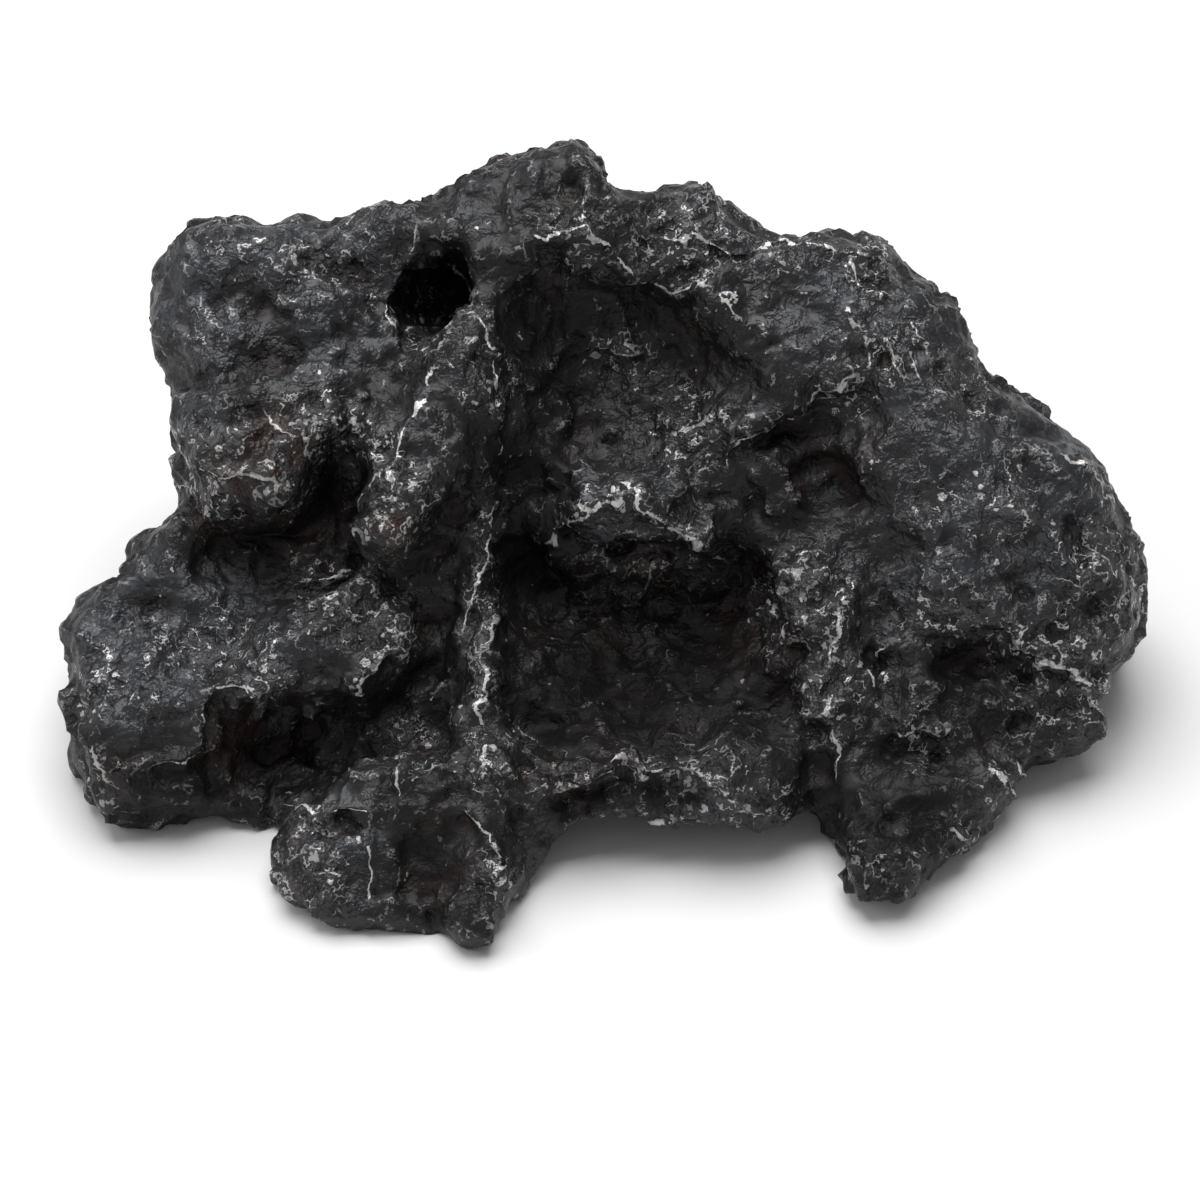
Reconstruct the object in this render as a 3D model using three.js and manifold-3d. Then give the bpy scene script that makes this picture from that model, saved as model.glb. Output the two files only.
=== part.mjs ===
// A sculpted iron meteorite, one solid piece, lying on its base with its hollowed face leaning back.
// Millimetres, +Z up, +X along its length, and the face looks towards -Y. The origin is under its
// middle, on the surface that it rests on.
//
// The stone is modelled as a distance field: a body with a known outline, lobes added to it, hollows
// scooped from it, and a closed skin drawn round the result. Places on the face are given as
// [across, up, out]: across to the right, up along the leaning face, and out of it.
import * as THREE from 'three';
import { ImprovedNoise } from 'three/addons/math/ImprovedNoise.js';
import { mergeVertices } from 'three/addons/utils/BufferGeometryUtils.js';
import Module from 'manifold-3d';

// Driving dimensions
const LENGTH = 110; // along X, over the whole stone
const FACE_LEAN = 43; // degrees between the horizontal and the line that the face looks along
const FACE_CENTRE_HEIGHT = 20; // height of the face's own zero point above the ground
const RIM_ROUNDING_FRONT = 13; // how fast the body closes in front of its rim
const RIM_ROUNDING_BACK = 24; // and behind it
const RIM_OUT = -9; // where the rim lies, along out
const CORE_OUT = -3; // front of the plain body, before any lobe is added
const RIM_MARGIN = 0.4; // makes up for the rounding of the rim
const BACK_WANDER = 6; // how far the outline's corners stray towards the back
const LOBE_BLEND = 2.6; // fillet between lobes
const HOLLOW_BLEND = 1.2; // rounding of a hollow's lip
const RIM_BLEND = 1.1; // and of the rim
const SKIN_STEP = 2.54; // size of the skin's facets
const BASE_HEIGHT = 0.5; // how high the base lies on average
const BASE_RELIEF = 3.4; // and how far it rises and falls
const ROUGHNESS = 0.6; // height of the random relief
const ROUGHNESS_SIZE = 7; // and its spacing

// The outline seen square to the face, clockwise from the peak: [across, up]
const outline = [
  [-2, 46.3], [-0.8, 45.4], [0.4, 43.5], [0.7, 41.2], [2.5, 40.9], [6, 41.6], [9.5, 41.9],
  [12.5, 39.8], [16, 37.6], [19, 36.2], [21.8, 35.7], [24, 36.4], [27.7, 36.6], [29.3, 35.5],
  [30.5, 33.2], [34, 31.7], [36.2, 30.7], [36.6, 28.2], [38.5, 23.8], [42, 20.8], [46.5, 17.3],
  [48.4, 15.2], [50.7, 11.8], [53, 8], [54.7, 4], [55.1, -1.2], [53.8, -4.8], [51, -8],
  [51.3, -9.6], [50, -10.5], [50.8, -11.4], [49.6, -15.5], [46.6, -16.5], [42.8, -16.2],
  [42.5, -18.2], [39.6, -21.2], [38, -24.3], [35, -26.2], [31.5, -29.3], [26.5, -30.8],
  [23.8, -28.5], [22, -25], [20, -23.8], [10, -23.8], [4, -23.6], [-1, -23], [-3.5, -23.2],
  [-5.5, -27.5], [-9.5, -30.3], [-10, -32.5], [-11.6, -34.7], [-15, -33.2], [-20, -32.4],
  [-25, -32.9], [-29.5, -30.6], [-33, -25.8], [-35.7, -20.6], [-41, -21.5], [-47, -22.4],
  [-49.5, -21.2], [-53.6, -15.5], [-52.4, -11.7], [-53.5, -10], [-53.5, -6], [-54, -5],
  [-53.2, -1.2], [-50.5, 1.5], [-46.5, 5.2], [-43.5, 6.8], [-41.4, 8.8], [-42.8, 13.8],
  [-43.2, 19.5], [-42.3, 22.2], [-43.8, 25], [-45.5, 29.2], [-44.7, 33.5], [-42.2, 36.5],
  [-38.8, 39.2], [-33.5, 37.5], [-29.5, 38.3], [-26.8, 37.6], [-25.5, 38.7], [-20, 39.8],
  [-17, 39.7], [-14.8, 42], [-9.5, 44.6], [-5, 45.4],
];

const noise = new ImprovedNoise();
const radians = THREE.MathUtils.degToRad;
const leanSin = Math.sin(radians(FACE_LEAN));
const leanCos = Math.cos(radians(FACE_LEAN));

// From the part's frame to the face's own axes
function toFace(point) {
  const z = point.z - FACE_CENTRE_HEIGHT;
  return new THREE.Vector3(point.x, leanSin * point.y + leanCos * z, leanSin * z - leanCos * point.y);
}

// How far out the ground lies under a place on the face
function groundOut(up) {
  return -(FACE_CENTRE_HEIGHT + leanCos * up) / leanSin;
}

// Distance fields of the single forms, negative inside

function smoothMin(a, b, k) {
  const h = Math.max(k - Math.abs(a - b), 0) / k;
  return Math.min(a, b) - h * h * k * 0.25;
}

function smoothMax(a, b, k) {
  return -smoothMin(-a, -b, k);
}

// turn is about out, anticlockwise; lean tips the form's front upwards; yaw turns it to the right
function ownAxes({ at, turn = 0, lean = 0, yaw = 0 }) {
  const euler = new THREE.Euler(radians(-lean), radians(yaw), radians(turn), 'ZYX');
  const toOwn = new THREE.Matrix4().makeRotationFromEuler(euler).setPosition(...at).invert();
  return (p) => p.clone().applyMatrix4(toOwn);
}

function ball({ radii, ...place }) {
  const own = ownAxes(place);
  const [a, b, c] = radii;
  return (p) => {
    const q = own(p);
    const k0 = Math.hypot(q.x / a, q.y / b, q.z / c);
    const k1 = Math.hypot(q.x / (a * a), q.y / (b * b), q.z / (c * c));
    return k1 === 0 ? -Math.min(a, b, c) : (k0 * (k0 - 1)) / k1;
  };
}

function block({ half, rounding, ...place }) {
  const own = ownAxes(place);
  return (p) => {
    const q = own(p);
    const x = Math.abs(q.x) - half[0] + rounding;
    const y = Math.abs(q.y) - half[1] + rounding;
    const z = Math.abs(q.z) - half[2] + rounding;
    const outside = Math.hypot(Math.max(x, 0), Math.max(y, 0), Math.max(z, 0));
    return outside + Math.min(Math.max(x, y, z), 0) - rounding;
  };
}

// A ridge along points [across, up, out, radius]
function ridge(...stations) {
  const points = stations.map(([a, u, o]) => new THREE.Vector3(a, u, o));
  return (p) => {
    let nearest = Infinity;
    for (let i = 0; i + 1 < points.length; i++) {
      const along = points[i + 1].clone().sub(points[i]);
      const t = THREE.MathUtils.clamp(p.clone().sub(points[i]).dot(along) / along.lengthSq(), 0, 1);
      const radius = THREE.MathUtils.lerp(stations[i][3], stations[i + 1][3], t);
      nearest = Math.min(nearest, p.distanceTo(along.multiplyScalar(t).add(points[i])) - radius);
    }
    return nearest;
  };
}

// The body: the outline, closing in front of its rim and behind it

function insideOutline(across, up) {
  let nearest = Infinity;
  let inside = false;
  for (let i = 0, j = outline.length - 1; i < outline.length; j = i++) {
    const [ax, ay] = outline[j];
    const [bx, by] = outline[i];
    const ex = bx - ax;
    const ey = by - ay;
    const t = THREE.MathUtils.clamp(
      ((across - ax) * ex + (up - ay) * ey) / (ex * ex + ey * ey), 0, 1,
    );
    nearest = Math.min(nearest, Math.hypot(across - ax - t * ex, up - ay - t * ey));
    if (ay > up !== by > up && across < ax + (ex * (up - ay)) / ey) inside = !inside;
  }
  return inside ? nearest : -nearest;
}

function withinOutline(p) {
  const rimOut = smoothMax(RIM_OUT - 0.06 * Math.max(p.x, 0), groundOut(p.y) + 2.5, 4);
  const fromRim = p.z - rimOut;
  const rounding = fromRim > 0 ? RIM_ROUNDING_FRONT : RIM_ROUNDING_BACK;
  const closing = fromRim ** 2 / (2 * rounding);
  const wander = BACK_WANDER * THREE.MathUtils.smoothstep(-fromRim, 3, 18);
  const across = p.x + wander * noise.noise(p.x / 11, p.y / 11, p.z / 9);
  const up = p.y + wander * noise.noise(p.x / 11 + 5, p.y / 11, p.z / 9);
  const inside = insideOutline(across, up) + RIM_MARGIN;
  return (closing - inside) / Math.hypot(1, fromRim / rounding);
}

const lobes = {
  shoulder: block({ at: [-30, 25, -9], half: [14.5, 15, 7], rounding: 4, lean: 25 }),
  noseLeft: ball({ at: [-38, 14, -3], radii: [5, 5, 5] }),
  noseRight: ball({ at: [-32.5, 11.5, -1], radii: [5, 4.5, 5] }),
  finger: ridge([-12.5, 29, -4, 4], [-15, 20, -1.5, 4.5], [-20, 8, 1.5, 4.4]),
  brow: block({ at: [-7, 38, -10], half: [10.5, 8, 7], rounding: 2.5, lean: 40, turn: 20 }),
  peak: ridge([-8, 39, -9, 4], [-2.2, 45.5, -9.5, 1.8]),
  crest: ridge([2, 36.5, -9, 4], [16, 33.5, -9, 4], [28, 34, -12, 3.5]),
  rightWing: ball({ at: [37, 12, -12], radii: [17, 28, 13], turn: 20 }),
  rightSlope: ball({ at: [29, 15, -12], radii: [11, 17, 9.5] }),
  wingEdge: ridge([38, -2, -3, 3], [50, -8.8, -9, 1.5]),
  wingTatter: ball({ at: [45, -12.5, -9], radii: [7, 4.5, 5] }),
  kneeUpper: ball({ at: [33, -10, -5], radii: [9, 5, 6] }),
  kneeLower: ball({ at: [31, -19, -3], radii: [10, 7, 7] }),
  rightFoot: ridge([30, -22, 1, 5], [27.5, -28, 4, 4.2]),
  bellyLip: ridge([-8, -20, 2, 2.2], [1, -17, 2.5, 2.2], [9, -17, 2.5, 2.2], [17, -21, 2, 2.4]),
  bellyPlate: ball({ at: [13, -19.5, 1.5], radii: [6, 3.5, 3.5] }),
  belly: ball({ at: [6, -17.5, -1.5], radii: [17, 5.5, 7] }),
  leftFoot: block({ at: [-18, -25, 0], half: [9.5, 8.5, 7], rounding: 3, turn: -4 }),
  leftKnob: ball({ at: [-28.5, -26, 2.5], radii: [5.5, 5.5, 5.5] }),
  toe: ridge([-13.5, -28, 5, 4], [-12, -32, 7.5, 3]),
  footCheek: ball({ at: [-8, -25, -1], radii: [5, 5, 5] }),
  knuckle: block({ at: [-26, -4, -4], half: [7, 6, 6], rounding: 2.5, lean: 15, turn: -33 }),
  shelf: block({ at: [-41, -6, -8.5], half: [13.5, 11, 7], rounding: 3, lean: 36, turn: 10 }),
  shelfFront: block({ at: [-44, -15.5, -4], half: [8.5, 6, 5], rounding: 2.5, lean: 10, turn: 12 }),
  spine: ridge([-11, 18, -4, 1.8], [-12.8, 12, -3.5, 1.8], [-11.8, 6, -3.5, 1.8], [-13, 0, -3.5, 2],
    [-12, -8, -2, 2.4], [-11.8, -14, 0.5, 3], [-11, -19, 3.5, 3.2]),
  footRidge: ridge([-11, -19, 4.5, 2.5], [-11, -30, 6, 2]),
  bridge: ridge([-4, 8, -6.5, 3], [0.5, 10.5, -3.6, 3.4], [5.5, 10.5, -3.6, 3.4], [10, 7.5, -6.5, 3]),
  ledge: ball({ at: [19, 25, -7], radii: [8, 8, 6] }),
  bowlCheek: ball({ at: [21, -1, -5], radii: [6, 6, 5.5] }),
  bowlCheekLow: ball({ at: [23, -11, -3.5], radii: [3.5, 7, 4.5] }),
};

const hollows = {
  upperBowl: ball({ at: [2, 22.5, 4], radii: [13.5, 13, 13] }),
  lowerBowl: ball({ at: [4.5, -4.5, 5], radii: [16.5, 11, 9] }),
  noseCleft: ball({ at: [-26.5, 9.5, 2], radii: [3.6, 6, 10], turn: -15 }),
  eyeHole: ball({ at: [-16.3, 30.5, -3], radii: [3.8, 5.2, 11], turn: -30 }),
  underShoulder: ball({ at: [-32, 3.5, -3], radii: [10, 3.6, 9] }),
  underShelf: ball({ at: [-31, -15, 1], radii: [9, 5, 7], turn: 22 }),
  spineGully: ball({ at: [-16.5, -4, 3.5], radii: [3.4, 12, 6.5] }),
  fingerGroove: ridge([-19.5, 25.5, 0.5, 1.8], [-23.5, 20, 1.2, 2.2], [-26, 14, 1.5, 2]),
  leftPassage: ridge([-7.5, 18, 0.5, 3.4], [-7, 10, -2.2, 4.2], [-6, 2, -5, 5]),
  rightPassage: ridge([12.5, 15, 0, 3], [13.5, 8, -2, 3.2], [14, 0, -2, 3.5]),
  foldRecess: ball({ at: [21.5, 17.5, 1], radii: [7.5, 3.6, 6], turn: 20 }),
  thumbPit: ball({ at: [22.5, 11.8, -2], radii: [3.4, 3.4, 4] }),
  underWing: ball({ at: [40, -6.5, 2], radii: [10, 2.8, 8], turn: -12 }),
  kneePit: ball({ at: [28.5, -6, 2], radii: [2.2, 4, 5] }),
  kneeGroove: ball({ at: [33, -15.2, 5], radii: [9, 2.2, 6] }),
};

// Hollows of the base and the back, in the part's own frame before its origin is set
const hiddenHollows = {
  cave: ball({ at: [4.5, 0, 15.8], radii: [15, 16.5, 6.6] }),
  arch: ball({ at: [5, -7, -3], radii: [18, 21, 8.6] }),
  archLeft: ball({ at: [-39, 2, -2.5], radii: [9, 13, 6] }),
  archRight: ball({ at: [43, 8, -2.5], radii: [11, 13, 7] }),
  archBack: ball({ at: [-6, 40, -2], radii: [15, 12, 6] }),
  backLeft: ball({ at: [-27, 47, 24], radii: [12, 7.5, 9] }),
  backMiddle: ball({ at: [-3, 51, 16], radii: [13, 9, 8.5] }),
  backRight: ball({ at: [21, 48, 27], radii: [11, 8, 8] }),
  backLow: ball({ at: [32, 44, 11], radii: [10, 8.5, 7.5] }),
  backTop: ball({ at: [1, 49, 35], radii: [9, 6, 6] }),
  leftFlank: ball({ at: [-45, 37, 13], radii: [10, 9, 8] }),
  leftSide: ball({ at: [-52, 24, 21], radii: [8, 9, 8] }),
  rightFlank: ball({ at: [52, 27, 19], radii: [8, 10, 9] }),
};

function roughness(p) {
  const s = 1 / ROUGHNESS_SIZE;
  const broad = noise.noise(p.x * s, p.y * s, p.z * s);
  const fine = noise.noise(p.x * s * 2.1 + 7, p.y * s * 2.1, p.z * s * 2.1);
  return ROUGHNESS * (broad + 0.5 * fine);
}

// The base's height above the ground: below nought the ground wears it flat
function base(point) {
  const broad = noise.noise(point.x / 15 + 3, point.y / 15, 2.5);
  const fine = noise.noise(point.x / 6, point.y / 6 + 8, 4.5);
  return BASE_HEIGHT + BASE_RELIEF * (broad + 0.35 * fine);
}

function stone(point) {
  const p = toFace(point);
  const within = withinOutline(p);
  let d = smoothMax(within, p.z - CORE_OUT, LOBE_BLEND);
  for (const lobe of Object.values(lobes)) d = smoothMin(d, lobe(p), LOBE_BLEND);
  for (const hollow of Object.values(hollows)) d = smoothMax(d, -hollow(p), HOLLOW_BLEND);
  for (const hollow of Object.values(hiddenHollows)) d = smoothMax(d, -hollow(point), HOLLOW_BLEND);
  return smoothMax(smoothMax(d, within, RIM_BLEND) + roughness(p), base(point) - point.z, 1);
}

// A closed skin round the field: one vertex in every cell that the surface crosses, moved onto the
// surface, and a quad round every edge that it crosses
function skin(field, low, high, step) {
  const count = high.clone().sub(low).divideScalar(step).ceil().addScalar(1);
  const [nx, ny, nz] = count.toArray();
  const node = (i, j, k) => (k * ny + j) * nx + i;
  const place = (i, j, k) => new THREE.Vector3(i, j, k).multiplyScalar(step).add(low);
  const value = new Float64Array(nx * ny * nz);
  for (let k = 0; k < nz; k++)
    for (let j = 0; j < ny; j++)
      for (let i = 0; i < nx; i++) value[node(i, j, k)] = field(place(i, j, k));

  const corners = [0, 1, 2, 3, 4, 5, 6, 7].map((c) => [c & 1, (c >> 1) & 1, (c >> 2) & 1]);
  const apart = (a, b) => Math.abs(a[0] - b[0]) + Math.abs(a[1] - b[1]) + Math.abs(a[2] - b[2]);
  const edges = corners.flatMap((a, i) =>
    corners.slice(i + 1).filter((b) => apart(a, b) === 1).map((b) => [a, b]));
  untangle(value, count.toArray());
  const vertexOf = new Int32Array(nx * ny * nz).fill(-1);
  const vertices = [];
  for (let k = 0; k + 1 < nz; k++)
    for (let j = 0; j + 1 < ny; j++)
      for (let i = 0; i + 1 < nx; i++) {
        const sum = new THREE.Vector3();
        let crossings = 0;
        for (const [a, b] of edges) {
          const va = value[node(i + a[0], j + a[1], k + a[2])];
          const vb = value[node(i + b[0], j + b[1], k + b[2])];
          if (va < 0 === vb < 0) continue;
          const from = place(i + a[0], j + a[1], k + a[2]);
          sum.add(from.lerp(place(i + b[0], j + b[1], k + b[2]), va / (va - vb)));
          crossings++;
        }
        if (!crossings) continue;
        vertexOf[node(i, j, k)] = vertices.length;
        vertices.push(settle(field, sum.divideScalar(crossings), step / 2));
      }

  const triangles = [];
  const axes = [[1, 0, 0], [0, 1, 0], [0, 0, 1]];
  for (let k = 1; k + 1 < nz; k++)
    for (let j = 1; j + 1 < ny; j++)
      for (let i = 1; i + 1 < nx; i++)
        axes.forEach((along, a) => {
          const here = value[node(i, j, k)] < 0;
          const there = value[node(i + along[0], j + along[1], k + along[2])] < 0;
          if (here === there) return;
          const u = axes[(a + 1) % 3];
          const v = axes[(a + 2) % 3];
          const cell = (m, n) =>
            vertexOf[node(i - m * u[0] - n * v[0], j - m * u[1] - n * v[1], k - m * u[2] - n * v[2])];
          const quad = [cell(0, 0), cell(1, 0), cell(1, 1), cell(0, 1)];
          if (!here) quad.reverse();
          const [p, q, r, s] = quad.map((n) => vertices[n]);
          const [A, B, C, D] = quad;
          if (p.distanceTo(r) < q.distanceTo(s)) triangles.push(A, B, C, A, C, D);
          else triangles.push(A, B, D, B, C, D);
        });
  return { vertices, triangles };
}

// Whether a cell's inside corners join along its edges, and its outside corners too
function inOnePiece(inside) {
  for (const side of [true, false]) {
    const start = inside.indexOf(side);
    const reached = new Set([start]);
    for (const c of reached)
      for (const bit of [1, 2, 4]) if (inside[c ^ bit] === side) reached.add(c ^ bit);
    if (start >= 0 && reached.size < inside.filter((v) => v === side).length) return false;
  }
  return true;
}

// A face of the cell whose corners are inside and outside by turns
function crossedFace(inside) {
  for (const [u, v] of [[1, 2], [2, 4], [4, 1]])
    for (const base of [0, 7 - u - v]) {
      const [a, b, c, d] = [base, base + u, base + u + v, base + v];
      if (inside[a] === inside[c] && inside[b] === inside[d] && inside[a] !== inside[b])
        return [a, b, c, d];
    }
  return null;
}

// Two sheets of the surface never share a cell: where they would, the gap between them is filled
function untangle(value, [nx, ny, nz]) {
  const offsets = [0, 1, 2, 3, 4, 5, 6, 7].map(
    (c) => (c & 1) + nx * ((c >> 1) & 1) + nx * ny * ((c >> 2) & 1));
  for (let changed = 1; changed; ) {
    changed = 0;
    for (let k = 0; k + 1 < nz; k++)
      for (let j = 0; j + 1 < ny; j++)
        for (let i = 0; i + 1 < nx; i++) {
          const cell = offsets.map((o) => o + (k * ny + j) * nx + i);
          const inside = cell.map((n) => value[n] < 0);
          const among = crossedFace(inside) ?? (inOnePiece(inside) ? null : [0, 1, 2, 3, 4, 5, 6, 7]);
          if (!among) continue;
          const outside = among.filter((c) => !inside[c]);
          const nearest = outside.reduce((a, b) => (value[cell[b]] < value[cell[a]] ? b : a));
          value[cell[nearest]] = -0.05;
          changed++;
        }
  }
}

// Moves a point onto the surface, by no more than reach
function settle(field, point, reach) {
  const start = point.clone();
  const probe = 0.05;
  for (let n = 0; n < 4; n++) {
    const rise = [[probe, 0, 0], [0, probe, 0], [0, 0, probe]].map((axis) => {
      const side = new THREE.Vector3(...axis);
      return field(point.clone().add(side)) - field(point.clone().sub(side));
    });
    const slope = new THREE.Vector3(...rise).divideScalar(2 * probe);
    point.addScaledVector(slope, -field(point) / Math.max(slope.lengthSq(), 0.2));
    point.sub(start).clampLength(0, reach).add(start);
  }
  return point;
}

const wasm = await Module();
wasm.setup();

function solidOf({ vertices, triangles }) {
  return new wasm.Manifold(new wasm.Mesh({
    numProp: 3,
    vertProperties: new Float32Array(vertices.flatMap((v) => v.toArray())),
    triVerts: new Uint32Array(triangles),
  }));
}

// The feet are worn flat where they touch the ground
function cutAtGround(solid) {
  const earth = new THREE.BoxGeometry(300, 300, 30).translate(0, 0, -15);
  earth.deleteAttribute('normal');
  earth.deleteAttribute('uv');
  const { index, attributes } = mergeVertices(earth);
  return solid.subtract(new wasm.Manifold(new wasm.Mesh({
    numProp: 3,
    vertProperties: attributes.position.array,
    triVerts: new Uint32Array(index.array),
  })));
}

function geometryOf(solid) {
  const mesh = solid.getMesh();
  const geometry = new THREE.BufferGeometry();
  geometry.setAttribute('position', new THREE.BufferAttribute(mesh.vertProperties, 3));
  geometry.setIndex(new THREE.BufferAttribute(mesh.triVerts, 1));
  return geometry;
}

function meteorite() {
  const low = new THREE.Vector3(-60, -46, -9);
  const high = new THREE.Vector3(60, 64, 56);
  const solid = cutAtGround(solidOf(skin(stone, low, high, SKIN_STEP)));
  const geometry = geometryOf(solid);
  geometry.computeBoundingBox();
  const { min, max } = geometry.boundingBox;
  const scale = LENGTH / (max.x - min.x);
  geometry.translate(-(min.x + max.x) / 2, -(min.y + max.y) / 2, 0).scale(scale, scale, scale);
  const iron = new THREE.MeshStandardMaterial({ color: 0x2a2a2d, roughness: 0.5, metalness: 0.6 });
  const mesh = new THREE.Mesh(geometry, iron);
  mesh.name = 'meteorite';
  return mesh;
}

const part = new THREE.Group();
part.add(meteorite());
export default part;
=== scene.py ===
# An iron meteorite resting on its base, its hollowed face leaning back, in metres and +Z up.
import math
import bpy
import numpy as np
from mathutils import Matrix, Vector


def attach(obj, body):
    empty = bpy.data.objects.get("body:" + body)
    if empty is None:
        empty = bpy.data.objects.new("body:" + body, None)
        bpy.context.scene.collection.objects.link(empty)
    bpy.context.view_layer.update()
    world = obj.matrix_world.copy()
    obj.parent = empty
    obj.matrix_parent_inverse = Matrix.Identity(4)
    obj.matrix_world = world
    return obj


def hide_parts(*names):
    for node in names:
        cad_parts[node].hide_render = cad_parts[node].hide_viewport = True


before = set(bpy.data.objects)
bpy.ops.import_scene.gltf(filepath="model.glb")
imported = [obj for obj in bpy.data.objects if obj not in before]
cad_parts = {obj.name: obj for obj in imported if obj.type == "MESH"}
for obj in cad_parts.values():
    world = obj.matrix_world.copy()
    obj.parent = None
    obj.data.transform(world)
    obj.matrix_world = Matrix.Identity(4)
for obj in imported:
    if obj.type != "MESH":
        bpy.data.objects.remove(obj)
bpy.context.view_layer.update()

# What a user would change on the stone. Lengths are in millimetres.
stone = {
    "slot": "meteoric_iron",
    "cell": 0.56,           # size of the fine skin's faces
    "blur": 0.8,            # how far the solid's facets are smoothed away
    "seed": 17,
    "chips": [(8.0, 0.9), (4.2, 0.6), (2.1, 0.26)],   # size and height of the broken facets
    "grain": (1.5, 0.12),   # size and height of the fine roughness
    "wobble": [(2.4, 0.6), (1.0, 0.24)],   # how the carved lines wander: size and reach
    "dents": 620,           # small round dents over the whole stone
    "dentRadius": (0.7, 2.4),
    "dentDepth": 0.2,       # share of a dent's radius
    "dentLip": 0.3,         # share of a dent's depth
    "fewLarge": 2.2,        # the higher this is, the fewer of the dents are large
    "proud": 0.3,           # how far the skin may stand past the solid's own box
    "iron": (0.0165, 0.016, 0.0165),
    "paintedLight": (0.041, 0.0435, 0.051),      # painted light on what faces up, a little blue
    "brown": (0.055, 0.025, 0.017),
    "paintedShade": (0.008, 0.0077, 0.008),       # painted shade down in the hollows
    # painted shade inside the pits
    "pitShade": (0.006, 0.006, 0.006),
    "polished": (0.085, 0.082, 0.083),    # between the bright edges of a worn patch
    "wornGlint": (0.7, 0.69, 0.68),          # worn rims and broken edges, with painted glints
    "roughness": 0.41,
    "metallic": 0.35,
}

# The face is looked at square on, from in front of it: across, up along it, and out of it
view = {
    "lean": 43,                         # degrees that the line of sight is above the horizontal
    "distance": 600,
    "middle": (-0.49, -8.49, 20.04),    # the face's own zero point
    "cell": 0.9,                        # the grid that finds what is hidden behind something nearer
    "reach": 70,                        # how far the grid goes from the zero point, both ways
    "hidden": 4.0,                      # a point this far behind the nearest one is out of view
    "fade": 1.5,                        # and it fades out over this depth before that
    "lens": 180,
    "sensor": 36,
}

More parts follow.
